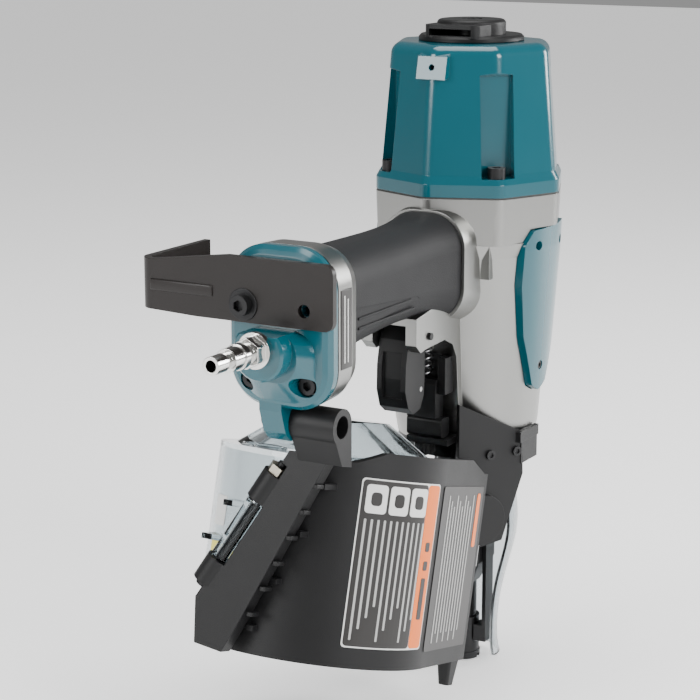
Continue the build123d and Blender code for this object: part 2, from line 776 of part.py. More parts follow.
def guard_shape(inset):
    def level(z, rx, ry, shift):
        return Pos(shift, 0, z) * Ellipse(rx - inset, ry - inset)
    levels = [level(128, 33, 28, 0), level(100, 34, 29.5, 0), level(72, 32, 29, 0), level(46, 24, 23, 0),
              level(24, 17, 21, 0), level(14, 17.5, 21, 0), level(4, 19.5, 22.5, 0)]
    return loft(levels)


def nose_guard():
    # Clear spatter guard wrapped round the front of the nose.
    shell = guard_shape(0) - guard_shape(1.8)
    shape = shell - block(-60, 6.5, 0, 60, -10, 200) - block(-60, -3, -60, 0, -10, 200)
    # rim slots let the lip flex
    for y in (-12, -5, 3, 10):
        shape -= block(8, 40, y - 0.4, y + 0.4, 0, 12)
    shape -= rod((20, 0, 115), (40, 0, 115), 2.2)
    return shape


def guard_screw():
    # Shouldered screw that ties the guard to the guide block.
    post = rod((guide_front, 0, 115), (34.0, 0, 115), 3.5)
    neck = rod((33.8, 0, 115), (37, 0, 115), 1.9)
    return post + neck + rod((36.8, 0, 115), (38.5, 0, 115), 3.6)


plate_left = 7.2
plate_right = -7.2


def channel_outline(inset, gap):
    front_x = guide_rear - 0.5
    top = mag_point(case_front + gap, 0, 100 - inset)
    low = mag_point(case_front + gap, 0, base_height + inset)
    slope = math.tan(math.radians(tilt))
    return [(top.X, top.Z), (front_x, top.Z - (front_x - top.X) * slope),
            (front_x, low.Z - (front_x - low.X) * slope), (low.X, low.Z)]


def feed_guide():
    # Fixed wall of the nail channel, on the right.
    plate = side_plate_of(channel_outline(0, 0.5), plate_right - 3.0, plate_right)
    window = mag_plane.location * block(case_front + 22, case_front + 41.5, channel_v + plate_right - 4,
                                        channel_v + plate_right + 1, cylinder_w - 5, cylinder_w + 5)
    rail = side_plate_of([(guide_rear - 0.5, 110), (guide_rear, 110), (guide_rear, 32), (guide_rear - 0.5, 32)],
                         plate_right - 3.0, plate_right)
    return plate + rail - window


cylinder_axis_y = -18.0
cylinder_w = 56.0
cylinder_radius = 7.6


def feed_cylinder():
    # Small air cylinder beside the channel that pushes the nails on.
    start = mag_point(case_front + 4, cylinder_axis_y - mag_origin[1], cylinder_w)
    end = mag_point(case_front + 25, cylinder_axis_y - mag_origin[1], cylinder_w)
    bore_start = mag_point(case_front + 7, cylinder_axis_y - mag_origin[1], cylinder_w)
    bore_end = mag_point(case_front + 22.5, cylinder_axis_y - mag_origin[1], cylinder_w)
    body = rod(start, end, cylinder_radius) - rod(bore_start, bore_end, 5.0)
    return body - rod(bore_start, end + (end - start), 2.1)


def feed_piston():
    v = cylinder_axis_y - mag_origin[1]
    head = rod(mag_point(case_front + 18, v, cylinder_w), mag_point(case_front + 22, v, cylinder_w), 4.95)
    stem = rod(mag_point(case_front + 18, v, cylinder_w), mag_point(case_front + 34, v, cylinder_w), 2.0)
    fork = Box(5, 5, 14)
    place = mag_plane.location * Pos(case_front + 36, v, cylinder_w)
    shape = head + stem + place * fork
    shape -= place * Pos(1, 1.4, 0) * Box(6, 3.4, 8.4)
    pin_low = mag_point(case_front + 37.2, v + 1, cylinder_w - 8)
    pin_high = mag_point(case_front + 37.2, v + 1, cylinder_w + 8)
    shape -= rod(pin_low, pin_high, 0.8 + running_clearance)
    return shape


def feed_pawl():
    v = cylinder_axis_y - mag_origin[1]
    finger = Polyline((case_front + 39.0, v + 0.1, 0), (case_front + 39.0, v + 13.4, 0),
                      (case_front + 37.8, v + 13.4, 0), (case_front + 36.4, v + 1.8, 0),
                      (case_front + 36.4, v + 0.1, 0), close=True)
    blade = Pos(0, 0, cylinder_w - 3.9) * extrude(make_face(finger), 7.8, dir=(0, 0, 1))
    pin = rod((case_front + 37.2, v + 1, cylinder_w - 7), (case_front + 37.2, v + 1, cylinder_w + 7), 0.8)
    return mag_plane.location * (blade + pin)


def feed_spring():
    shape = helix_spring(0, 10.6, 3.4, 0.35, 4)
    v = cylinder_axis_y - mag_origin[1]
    start = mag_point(case_front + 7.2, v, cylinder_w)
    return Plane(origin=start, z_dir=mag_plane.x_dir).location * shape


door_hinge_x = -6.0
door_hinge_y = 19.0
door_pin_radius = 2.0


def feeder_door():
    # Left wall of the nail channel; swings open about an upright pin beside the nose.
    plate = side_plate_of(channel_outline(2, 2.5), plate_left, plate_left + 3.0)
    shape = plate
    for low, high in ((92, 104), (66, 76)):
        leaf = block(-26, -14.5, plate_left + 3.0, plate_left + 5.5, low, high)
        link = block(-19, door_hinge_x, door_hinge_y - 4.4, door_hinge_y - 1.4, low, high)
        joiner = block(-22, -17, plate_left + 3.0, door_hinge_y - 1.4, low, high)
        knuckle = rod((door_hinge_x, door_hinge_y, low), (door_hinge_x, door_hinge_y, high), 4.4)
        shape += leaf + link + joiner + knuckle
    shape -= rod((door_hinge_x, door_hinge_y, 50), (door_hinge_x, door_hinge_y, 120),
                 door_pin_radius + running_clearance)
    return shape


def door_pin():
    # Upright pin carried by two ears on the guide block.
    pin = rod((door_hinge_x, door_hinge_y, 58), (door_hinge_x, door_hinge_y, 110), door_pin_radius)
    shape = pin
    for low, high in ((60, 65.5), (104.5, 110)):
        ear = rod((door_hinge_x, door_hinge_y, low), (door_hinge_x, door_hinge_y, high), 4.4)
        foot = block(door_hinge_x - 3, door_hinge_x + 3, guide_width / 2, door_hinge_y, low, high)
        shape += ear + foot
    return shape


def door_latch():
    # Sprung thumb latch across the door's rear edge.
    x0 = -33.0
    hub = rod((x0, plate_left + 6.0, 64), (x0, plate_left + 6.0, 80), 2.6)
    thumb = block(x0 - 12, x0, plate_left + 5.0, plate_left + 8.0, 64, 80)
    shape = hub + thumb
    return shape - rod((x0, plate_left + 6.0, 60), (x0, plate_left + 6.0, 84), 1.2 + running_clearance)


def latch_pin():
    x0 = -33.0
    shape = rod((x0, plate_left + 6.0, 60.5), (x0, plate_left + 6.0, 83.5), 1.2)
    for low, high in ((60.5, 63.6), (80.4, 83.5)):
        shape += block(x0 - 2.4, x0 + 2.4, plate_left + 3.0, plate_left + 7.5, low, high)
    return shape


# ---- contact foot and its linkage ----

def contact_foot():
    tube = ring(foot_radius - 0.6, foot_bore, 0, foot_height)
    toes = ring(foot_radius, foot_bore, 0, 4)
    shape = tube + toes
    for turn in (0, 90, 180, 270):
        shape -= Rot(0, 0, turn) * block(foot_bore - 2, 20, -1.2, 1.2, -1, 2.2)
    return shape


def contact_arm():
    # Flat arm on the right of the guide block, from the foot up to the adjuster below the trigger.
    y1 = -guide_width / 2 - 0.4
    y0 = y1 - 2.4
    upright_x = -46.6
    lower = side_plate_of([(-5, 12), (4.5, 12), (4.5, 116), (-40.2, 116), (-40.2, 149.5), (upright_x, 149.5),
                           (upright_x, 105), (-5, 102)], y0, y1)
    step = block(-5, 4.5, y0, -foot_radius + 1.0, 12, 22)
    shelf = block(linkage_x - 4.8, -42, y0, 9, 146, 149.5)
    shape = lower + step + shelf - rod((0, 0, 130), (0, 0, 180), barrel_radius_low + 2.2)
    shape -= rod((0, 0, 0), (0, 0, 60), foot_radius - 0.6)
    return shape - rod((linkage_x, 0, 140), (linkage_x, 0, 160), 2.3)


def depth_dial():
    # Knurled wheel on the linkage stud that sets how deep the nail goes.
    wheel = rod((linkage_x, 0, 140), (linkage_x, 0, 145.7), 6.0)
    for turn in range(0, 360, 30):
        x = linkage_x + 6.4 * math.cos(math.radians(turn))
        y = 6.4 * math.sin(math.radians(turn))
        wheel -= rod((x, y, 139), (x, y, 147), 0.9)
    return wheel - rod((linkage_x, 0, 139), (linkage_x, 0, 147), 2.0 + running_clearance)


def contact_pusher():
    # Stud and sliding block that reach up to the trigger lever.
    stud = rod((linkage_x, 0, 138), (linkage_x, 0, 166), 2.0)
    bracket = block(linkage_x - 4.8, -47.6, -13, 9, 150, 161)
    bracket = fillet(bracket.edges().filter_by(Axis.Y), 2)
    slider = block(linkage_x - 4.8, -47.6, -9, 9, 161, 183)
    slider = chamfer(slider.edges().filter_by(Axis.Y).sort_by(Axis.Z)[-2:], 2)
    return stud + bracket + slider


def arm_guide():
    # Two rails on the web that keep the sliding block straight.
    shape = block(-47.2, -44.2, -14, 14, 175, 196)
    for side in (-1, 1):
        y0, y1 = sorted((side * 9.4, side * 14))
        shape += block(-55, -46, y0, y1, 175, 196)
    return shape - trigger_web() - barrel_outer()


def contact_spring():
    return Pos(linkage_x, 0, 0) * helix_spring(183.1, spring_top - 0.1, 3.5, 0.6, 7)


# ---- magazine ----

def wall_plan(inset):
    # Plan outline: a round canister drawn out to the nail channel.
    reach = math.hypot(case_front, case_wall_v)
    edge = math.atan2(case_wall_v, case_front) - math.acos(can_radius / reach)
    tangent_right = (can_radius * math.cos(edge), can_radius * math.sin(edge))
    reach_left = math.hypot(case_front, front_left_v)
    edge_left = math.atan2(front_left_v, case_front) + math.acos(can_radius / reach_left)
    tangent_left = (can_radius * math.cos(edge_left), can_radius * math.sin(edge_left))
    snout = make_face(Polyline(tangent_right, (case_front, case_wall_v), (case_front, front_left_v),
                               tangent_left, close=True))
    plan = Circle(can_radius) + snout
    if inset == 0:
        return plan
    return offset(plan, amount=-inset, kind=Kind.INTERSECTION)


front_left_v = -2.0
lid_front_u = 50.0
channel_v = -mag_origin[1]


def tall(plan, low, high):
    return extrude(Pos(0, 0, low) * plan, high - low)


def right_half(gap):
    # The side of the parting that belongs to the fixed case; the parting leans with the hinge at the rear.
    rear = make_face(Polyline((-90, -22 - gap, 115), (-90, -90, 115), (-90, -90, -20), (-90, 20 - gap, -20),
                              close=True))
    rear = extrude(rear, 90, dir=(1, 0, 0))
    front = make_face(Polyline((0, -gap, 0), (90, channel_v - gap, 0), (90, -90, 0), (0, -90, 0), close=True))
    front = Pos(0, 0, -20) * extrude(front, 135, dir=(0, 0, 1))
    return rear + front


def channel_mouth():
    return block(case_front - 8, case_front + 8, channel_v - 7.5, channel_v + 7.5, base_height - 0.01, 101)


def magazine_case():
    floor = tall(wall_plan(0), 0, base_height)
    dish = tall(wall_plan(can_wall + 2), 3, base_height + 1)
    walls = tall(wall_plan(0), 0, 114) - tall(wall_plan(can_wall), -1, 115)
    walls = walls & right_half(0)
    top_cut = side_plate_of([(-80, 120), (-80, 106), (-50, 106), (-38, 112.5), (46, 112.5), (66, 105.5), (80, 102),
                             (80, 120)], -90, 90)
    shape = floor - dish + (walls - top_cut)
    shape -= channel_mouth()
    peg = loft([Pos(60, case_wall_v + 3.4, 1) * RectangleRounded(12, 9, 2),
                Pos(61, case_wall_v + 3.4, -14) * RectangleRounded(8, 6, 2)])
    shape += peg
    # socket for the platform post
    shape += ring(6, 3.0 + bolt_clearance, 0, base_height)
    shape -= rod((0, 0, -1), (0, 0, 12), 3.0 + bolt_clearance)
    # fixed strip of roof over the nail channel's mouth
    strip = tall(wall_plan(0), can_height - 4, can_height - 1)
    strip = strip & block(lid_front_u + 0.8, 90, -90, 90, 0, 200)
    shape += strip & right_half(0)
    # ribs towards the bracket arm
    for w in (14, 40, 66, 92):
        middle = arm_middle(w)
        rib = block(arm_inner_u, -50, middle - 14, middle - 10, w - 1.5, w + 1.5)
        shape += rib - tall(wall_plan(can_wall), -1, 115)
    return mag_plane.location * shape


arm_inner_u = -68.0
arm_outer_u = -76.5
arm_half_width = 13.0


def arm_middle(w):
    # Sideways place of the bracket arm at a height up the canister.
    return -33.0 + (127.0 - w) * 51.0 / 127.0


def magazine_arm():
    # Bracket from the end cap's lug down across the canister's rear, with both outer hinge knuckles.
    top_w = 108.0
    top_v = arm_middle(top_w)
    low_v = arm_middle(2)
    outline = [(top_v - arm_half_width, top_w), (top_v + arm_half_width - 2, top_w), (low_v + arm_half_width, 26),
               (low_v + arm_half_width - 3, 2), (low_v - arm_half_width + 6, 0), (low_v - arm_half_width, 12)]
    plate = make_face(Polyline(*[(arm_outer_u, v, w) for v, w in outline], close=True))
    plate = extrude(plate, arm_inner_u - arm_outer_u, dir=(1, 0, 0))
    shape = mag_plane.location * plate
    # neck up to the round eye on the lug bolt
    eye_right = lug_right - 26.0
    eye = rod((lug_x, eye_right, lug_z), (lug_x, lug_right - 0.1, lug_z), 9.4)
    foot_rear = mag_point(arm_outer_u, 0, top_w - 4)
    foot_front = mag_point(arm_inner_u + 1.5, 0, top_w - 4)
    neck = side_plate_of([(foot_rear.X, foot_rear.Z), (foot_front.X, foot_front.Z), (lug_x + 9.2, lug_z - 2),
                          (lug_x + 6, lug_z + 5), (lug_x - 6, lug_z + 5), (lug_x - 9.2, lug_z - 1)],
                         eye_right, lug_right - 0.1)
    shape += eye + neck
    shape -= rod((lug_x, -40, lug_z), (lug_x, 10, lug_z), lug_bolt_radius + bolt_clearance)
    shape -= rod((lug_x, eye_right - 1, lug_z), (lug_x, eye_right + 7, lug_z), 5.8)
    # hinge knuckles at both ends of the pin
    start = mag_point(*hinge_top)
    end = mag_point(*hinge_low)
    along = end - start
    for first, last in ((0.0, 0.24), (0.79, 1.0)):
        near = start + along * first
        far = start + along * last
        shape += rod(near, far, knuckle_radius)
    middle = rod(start + along * 0.24, start + along * 0.79, knuckle_radius + 0.6)
    shape -= middle
    spot = 8.0 / along.length
    shape -= rod(start - along * spot, start, 6.6)
    shape -= rod(end, end + along * spot, 5.0)
    return shape - rod(start - along, end + along, hinge_radius + running_clearance)


def arm_bolt():
    return socket_bolt((lug_x, lug_left, lug_z), (0, 1, 0), lug_bolt_radius, 32, 5.0, 6.0)


def hinge_pin():
    start = mag_point(*hinge_top)
    end = mag_point(*hinge_low)
    along = (end - start).normalized()
    head = rod(end, end + along * 2.5, 4.2)
    return rod(start - along * 7, end, hinge_radius) + head


def hinge_nut():
    start = mag_point(*hinge_top)
    along = (mag_point(*hinge_low) - start).normalized()
    plane = Plane(origin=start - along * 0.1, z_dir=along * -1)
    nut = extrude(plane * RegularPolygon(5.8, 6), 4.6)
    return nut - rod(start + along, start - along * 9, hinge_radius + 0.05)


def magazine_cap():
    # Clear swinging shell: left wall, roof over the whole canister, and a raised hood over the nail coil.
    low = base_height + parting_gap
    roof_low = can_height - can_wall
    left = tall(wall_plan(0), low, can_height) - right_half(-parting_gap)
    lid_front = block(-90, lid_front_u, -90, 90, -10, 200)
    roof = tall(wall_plan(can_wall + 0.8), roof_low, can_height)
    lid = (roof & lid_front) + (roof - right_half(-parting_gap))
    low_outline = Pos(8, 4, can_height - 0.5) * RectangleRounded(82, 106, 26)
    high_outline = Pos(6, 5, can_height + hood_height) * RectangleRounded(56, 44, 15)
    hood = loft([low_outline, high_outline], ruled=True)
    hood = hood & tall(wall_plan(can_wall + 0.8), roof_low, 200) & lid_front
    low_inner = Pos(8, 4, roof_low - 3.0) * RectangleRounded(79, 104, 25)
    high_inner = Pos(6, 5, can_height + hood_height - can_wall) * RectangleRounded(50, 38, 13)
    hood_inner = loft([low_inner, high_inner], ruled=True) & tall(wall_plan(2 * can_wall + 0.8), 0, 200)
    hood_inner = hood_inner & block(-90, lid_front_u - can_wall, -90, 90, -10, 200)
    inside = tall(wall_plan(can_wall), low - 1, roof_low)
    shape = left - inside + (lid + hood - hood_inner)
    shape -= channel_mouth()
    # rim bead along the foot of the wall
    bead = tall(offset(Circle(can_radius), 1.4), low, low + 3.5) - tall(Circle(can_radius - 1), low - 1, low + 9)
    shape += bead - right_half(-parting_gap - 1) - block(30, 90, -90, 90, 0, 60)
    # middle hinge knuckle and its two fins
    start = Vector(*hinge_top)
    end = Vector(*hinge_low)
    along = end - start
    knuckle = rod(start + along * 0.26, start + along * 0.77, knuckle_radius - 1.2)
    shape += knuckle
    for w in (57, 76):
        v = start.Y + (start.Z - w) / (start.Z - end.Z) * (end.Y - start.Y)
        fin = block(-72, -58, v, v + 19, w - 1.5, w + 1.5) - tall(Circle(can_radius - 1.5), 0, 110)
        shape += fin - right_half(-parting_gap)
    shape -= rod(start - along, end + along, hinge_radius + running_clearance)
    return mag_plane.location * shape


def platform_post():
    return mag_plane.location * rod((0, 0, 0), (0, 0, 60), 3.0)


def nail_platform():
    # Height-adjustable table that the nail coil stands on.
    table = ring(38, 3.0 + running_clearance, 26, 28.5)
    hub = ring(6, 3.0 + running_clearance, 16, 26)
    return mag_plane.location * (table + hub)


nodes = {
    "body_housing": body_housing,
    "cylinder_sleeve": cylinder_sleeve,
    "piston_bumper": piston_bumper,
    "head_gasket": head_gasket,
    "head_cap": head_cap,
    "head_bolts": head_bolts,
    "exhaust_deflector": exhaust_deflector,
    "deflector_screw": deflector_screw,
    "piston": piston,
    "piston_ring": piston_ring,
    "driver_blade": driver_blade,
    "head_valve": head_valve,
    "head_valve_spring": head_valve_spring,
    "plate_screws": plate_screws,
    "grip_sleeve": grip_sleeve,
    "end_cap": end_cap,
    "end_cap_gasket": end_cap_gasket,
    "end_cap_bolts": end_cap_bolts,
    "air_plug": air_plug,
    "belt_hook": belt_hook,
    "hook_bolt": hook_bolt,
    "trigger": trigger,
    "trigger_lever": trigger_lever,
    "trigger_pin": trigger_pin,
    "lock_lever": lock_lever,
    "valve_housing": valve_housing,
    "valve_stem": valve_stem,
    "valve_spring": valve_spring,
    "driver_guide": driver_guide,
    "nose_bolts": nose_bolts,
    "nose_cover": nose_cover,
    "nose_cover_screws": nose_cover_screws,
    "nose_guard": nose_guard,
    "guard_screw": guard_screw,
    "feed_guide": feed_guide,
    "feed_cylinder": feed_cylinder,
    "feed_piston": feed_piston,
    "feed_pawl": feed_pawl,
    "feed_spring": feed_spring,
    "feeder_door": feeder_door,
    "door_pin": door_pin,
    "door_latch": door_latch,
    "latch_pin": latch_pin,
    "contact_foot": contact_foot,
    "contact_arm": contact_arm,
    "contact_pusher": contact_pusher,
    "depth_dial": depth_dial,
    "arm_guide": arm_guide,
    "contact_spring": contact_spring,
    "magazine_case": magazine_case,
    "magazine_arm": magazine_arm,
    "arm_bolt": arm_bolt,
    "hinge_pin": hinge_pin,
    "hinge_nut": hinge_nut,
    "magazine_cap": magazine_cap,
    "platform_post": platform_post,
    "nail_platform": nail_platform,
}

os.makedirs("parts", exist_ok=True)
for name, make in nodes.items():
    export_step(make(), "parts/" + name + ".step")
for name, side in (("side_plate_right", -1), ("side_plate_left", 1)):
    export_step(side_plate(side), "parts/" + name + ".step")
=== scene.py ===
import json
import math
import bpy
from mathutils import Matrix, Vector


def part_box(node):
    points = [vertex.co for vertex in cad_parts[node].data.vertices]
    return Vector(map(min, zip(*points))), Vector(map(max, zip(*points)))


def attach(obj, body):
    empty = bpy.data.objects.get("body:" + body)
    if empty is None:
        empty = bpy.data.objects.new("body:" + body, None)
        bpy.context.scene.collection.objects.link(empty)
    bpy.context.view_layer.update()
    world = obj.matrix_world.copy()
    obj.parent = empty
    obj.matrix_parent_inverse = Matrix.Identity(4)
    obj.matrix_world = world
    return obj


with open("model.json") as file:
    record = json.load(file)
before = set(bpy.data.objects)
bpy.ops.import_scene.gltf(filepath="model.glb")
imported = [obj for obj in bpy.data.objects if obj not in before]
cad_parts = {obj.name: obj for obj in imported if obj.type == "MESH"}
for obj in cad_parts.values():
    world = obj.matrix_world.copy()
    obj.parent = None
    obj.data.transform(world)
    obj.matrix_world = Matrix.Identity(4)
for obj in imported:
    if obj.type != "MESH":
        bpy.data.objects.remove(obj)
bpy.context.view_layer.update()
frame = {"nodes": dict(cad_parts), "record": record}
record = frame["record"]
mm = 0.001
print("frame loaded")


class Signal:
    # a node's output that can be used in sums
    def __init__(self, finish, socket):
        self.finish = finish
        self.socket = socket

    def calc(self, operation, first, second):
        made = self.finish.node("ShaderNodeMath", {"operation": operation}, {0: first, 1: second})
        return self.finish.out(made, "Value")

    def __add__(self, other):
        return self.calc("ADD", self, other)

    def __radd__(self, other):
        return self.calc("ADD", other, self)

    def __mul__(self, other):
        return self.calc("MULTIPLY", self, other)

    def __rmul__(self, other):
        return self.calc("MULTIPLY", other, self)


class Finish:
    # one material and its nodes
    def __init__(self, name):
        self.material = bpy.data.materials.new(name)
        self.material.use_nodes = True
        self.tree = self.material.node_tree
        self.tree.nodes.clear()

    def node(self, kind, settings=None, inputs=None):
        made = self.tree.nodes.new(kind)
        for key, value in (settings or {}).items():
            setattr(made, key, value)
        for key, value in (inputs or {}).items():
            if isinstance(value, Signal):
                self.tree.links.new(value.socket, made.inputs[key])
            else:
                made.inputs[key].default_value = value
        return made

    def out(self, made, key=0):
        return Signal(self, made.outputs[key])

    def noise(self, place, scale, detail=3.0):
        made = self.node("ShaderNodeTexNoise", None, {"Vector": place, "Scale": scale, "Detail": detail})
        return self.out(made, 0)

    def blendColors(self, mask, dark, light):
        made = self.node("ShaderNodeMix", {"data_type": "RGBA"}, {0: mask, 6: (*dark, 1), 7: (*light, 1)})
        return self.out(made, 2)

    def show(self, shader):
        self.node("ShaderNodeOutputMaterial", None, {"Surface": self.out(shader)})
        return self.material


finishes = {
    "silver_body": dict(color=(0.30, 0.30, 0.29), metallic=1.0, rough=0.3, grain=2600, depth=0.10,
                        shade=0.93),
    "teal_gloss": dict(color=(0.0, 0.078, 0.104), metallic=0.0, rough=0.2, grain=900, depth=0.03, shade=0.94,
                       coat=0.35),
    "black_plastic": dict(color=(0.007, 0.007, 0.0075), metallic=0.0, rough=0.45, grain=2400, depth=0.22,
                          shade=0.8, shine=0.3),
    "grip_rubber": dict(color=(0.010, 0.010, 0.011), metallic=0.0, rough=0.62, grain=1500, depth=0.35,
                        shade=0.75, shine=0.3),
    "hook_brown": dict(color=(0.012, 0.009, 0.008), metallic=0.0, rough=0.38, grain=1300, depth=0.12,
                       shade=0.8, shine=0.35),
    "dark_steel": dict(color=(0.030, 0.030, 0.031), metallic=0.75, rough=0.38, grain=1800, depth=0.08,
                       shade=0.8),
    "steel": dict(color=(0.55, 0.55, 0.54), metallic=1.0, rough=0.32, grain=1600, depth=0.06, shade=0.85),
    "chrome": dict(color=(0.72, 0.71, 0.69), metallic=1.0, rough=0.14, grain=900, depth=0.02, shade=0.92),
    "aluminium": dict(color=(0.68, 0.69, 0.70), metallic=1.0, rough=0.35, grain=1600, depth=0.05, shade=0.9),
    "rubber": dict(color=(0.02, 0.02, 0.02), metallic=0.0, rough=0.7, grain=1200, depth=0.2, shade=0.8),
    "gasket": dict(color=(0.06, 0.06, 0.058), metallic=0.0, rough=0.75, grain=1900, depth=0.15, shade=0.8),
    "brass_nut": dict(color=(0.50, 0.46, 0.38), metallic=1.0, rough=0.34, grain=1300, depth=0.06,
                      shade=0.85),
    "spring_steel": dict(color=(0.35, 0.35, 0.36), metallic=1.0, rough=0.3, grain=1500, depth=0.04,
                         shade=0.85),
    "labelDark": dict(color=(0.015, 0.013, 0.012), metallic=0.0, rough=0.36, grain=700, depth=0.02,
                      shade=0.9),
    "labelPale": dict(color=(0.72, 0.72, 0.70), metallic=0.0, rough=0.4, grain=700, depth=0.02, shade=0.95),
    "labelLine": dict(color=(0.40, 0.40, 0.39), metallic=0.0, rough=0.4, grain=700, depth=0.02, shade=0.95),
    "labelOrange": dict(color=(0.86, 0.16, 0.0), metallic=0.0, rough=0.4, grain=700, depth=0.02, shade=0.93),
    "labelYellow": dict(color=(0.80, 0.72, 0.06), metallic=0.0, rough=0.4, grain=700, depth=0.02,
                        shade=0.93),
}
clearFinishes = {
    "clear_plastic": dict(color=(0.66, 0.71, 0.73), rough=0.04),
    "frosted_plastic": dict(color=(0.60, 0.64, 0.66), rough=0.14),
}
surfaceLook = {"drift": 26.0, "edge": 0.5 * mm, "grainLift": 0.4 * mm, "coatRough": 0.08}
clearLook = {"drift": 18.0, "ripple": 60.0, "rippleDepth": 0.12, "rippleLift": 0.6 * mm, "bend": 1.3}


def surfaceFinish(name, color, metallic, rough, grain, depth, shade, coat=0.0, shine=0.5):
    # colour and gloss drift slowly together, edges shade as if softened, and a fine grain lifts the surface
    f = Finish(name)
    place = f.out(f.node("ShaderNodeTexCoord"), "Object")
    drift = f.noise(place, surfaceLook["drift"], 4.0)
    fine = f.noise(place, grain, 2.0)
    tone = f.blendColors(drift, [c * shade for c in color], color)
    gloss = rough * 0.82 + drift * (rough * 0.36)
    rounded = f.out(f.node("ShaderNodeBevel", {"samples": 4}, {"Radius": surfaceLook["edge"]}))
    lifted = f.out(f.node("ShaderNodeBump", None, {
        "Strength": depth, "Distance": surfaceLook["grainLift"], "Height": fine, "Normal": rounded}))
    return f.show(f.node("ShaderNodeBsdfPrincipled", None, {
        "Base Color": tone, "Metallic": metallic, "Roughness": gloss, "Normal": lifted,
        "Coat Weight": coat, "Coat Roughness": surfaceLook["coatRough"], "Specular IOR Level": shine}))


def clearFinish(name, color, rough):
    # clear moulding: bends the light through its wall, a little uneven in gloss
    f = Finish(name)
    place = f.out(f.node("ShaderNodeTexCoord"), "Object")
    drift = f.noise(place, clearLook["drift"], 3.0)
    tone = f.blendColors(drift, [c * 0.96 for c in color], color)
    gloss = rough * 0.7 + drift * (rough * 0.6)
    ripple = f.noise(place, clearLook["ripple"], 2.0)
    lifted = f.out(f.node("ShaderNodeBump", None, {
        "Strength": clearLook["rippleDepth"], "Distance": clearLook["rippleLift"], "Height": ripple}))
    return f.show(f.node("ShaderNodeBsdfPrincipled", None, {
        "Base Color": tone, "Roughness": gloss, "Normal": lifted, "Transmission Weight": 1.0,
        "IOR": clearLook["bend"]}))


finish = {name: surfaceFinish(name, **values) for name, values in finishes.items()}
finish.update({name: clearFinish(name, **values) for name, values in clearFinishes.items()})

for subpart in record["subparts"]:
    mesh = frame["nodes"][subpart["node"]].data
    mesh.materials.clear()
    mesh.materials.append(finish[subpart["material_slot"]])
print("finishes assigned")


def deselectAll():
    if bpy.context.object and bpy.context.object.mode != "OBJECT":
        bpy.ops.object.mode_set(mode="OBJECT")
    bpy.ops.object.select_all(action="DESELECT")


def applyAll(piece):
    deselectAll()
    piece.select_set(True)
    bpy.context.view_layer.objects.active = piece
    bpy.ops.object.transform_apply(location=True, rotation=True, scale=True)


def applyModifier(piece, kind, **settings):
    bpy.context.view_layer.objects.active = piece
    made = piece.modifiers.new(kind.title(), kind)
    for key, value in settings.items():
        setattr(made, key, value)
    bpy.ops.object.modifier_apply(modifier=made.name)


def fitPiece(piece, body, finishName, place=None):
    # seats a finished piece in the tool and lets it ride on its body
    if place is not None:
        piece.data.transform(place)
    piece.data.materials.clear()
    piece.data.materials.append(finish[finishName])
    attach(piece, body)
    return piece


def roundedBlock(name, low, high, softness):
    # a cube drawn out between two corners, its edges bevelled
    deselectAll()
    low = Vector(low)
    high = Vector(high)
    bpy.ops.mesh.primitive_cube_add(size=1, location=(low + high) / 2, scale=high - low)
    piece = bpy.context.object
    piece.name = name
    applyAll(piece)
    applyModifier(piece, "BEVEL", width=softness, segments=3, limit_method="NONE")
    bpy.ops.object.shade_smooth_by_angle(angle=math.radians(40))
    return piece


def flatPanel(name, width, height, thickness, corner, cuts=0):
    # a card with rounded corners lying in X and Z, its face towards -Y, cut across so that it can bend
    deselectAll()
    bpy.ops.mesh.primitive_cube_add(size=1, scale=(width, thickness, height))
    piece = bpy.context.object
    piece.name = name
    applyAll(piece)
    bpy.ops.object.mode_set(mode="EDIT")
    bpy.ops.mesh.select_mode(type="EDGE")
    bpy.ops.mesh.select_all(action="DESELECT")
    bpy.ops.object.mode_set(mode="OBJECT")
    for edge in piece.data.edges:
        first, second = [piece.data.vertices[v].co for v in edge.vertices]
        edge.select = abs(first.y - second.y) > thickness / 2
    bpy.ops.object.mode_set(mode="EDIT")
    bpy.ops.mesh.bevel(offset=corner, segments=5)
    for cut in range(1, cuts):
        bpy.ops.mesh.select_all(action="SELECT")
        bpy.ops.mesh.bisect(plane_co=(width * (cut / cuts - 0.5), 0, 0), plane_no=(1, 0, 0))
    bpy.ops.object.mode_set(mode="OBJECT")
    return piece


def washer(name, place, outward, outer, inner, height):
    # a flat ring: a disc inset once, its middle dropped out, then given its height
    deselectAll()
    bpy.ops.mesh.primitive_circle_add(vertices=48, radius=outer, fill_type="NGON")
    piece = bpy.context.object
    piece.name = name
    bpy.ops.object.mode_set(mode="EDIT")
    bpy.ops.mesh.select_all(action="SELECT")
    bpy.ops.mesh.inset(thickness=outer - inner)
    bpy.ops.mesh.delete(type="FACE")
    bpy.ops.mesh.select_all(action="SELECT")
    bpy.ops.mesh.extrude_region_move(TRANSFORM_OT_translate={"value": (0, 0, height)})
    bpy.ops.mesh.select_all(action="SELECT")
    bpy.ops.mesh.normals_make_consistent(inside=False)
    bpy.ops.object.mode_set(mode="OBJECT")
    applyModifier(piece, "BEVEL", width=height * 0.25, segments=2, limit_method="ANGLE")
    turn = Vector(outward).to_track_quat("Z", "Y").to_matrix().to_4x4()
    piece.data.transform(Matrix.Translation(place) @ turn)
    return piece


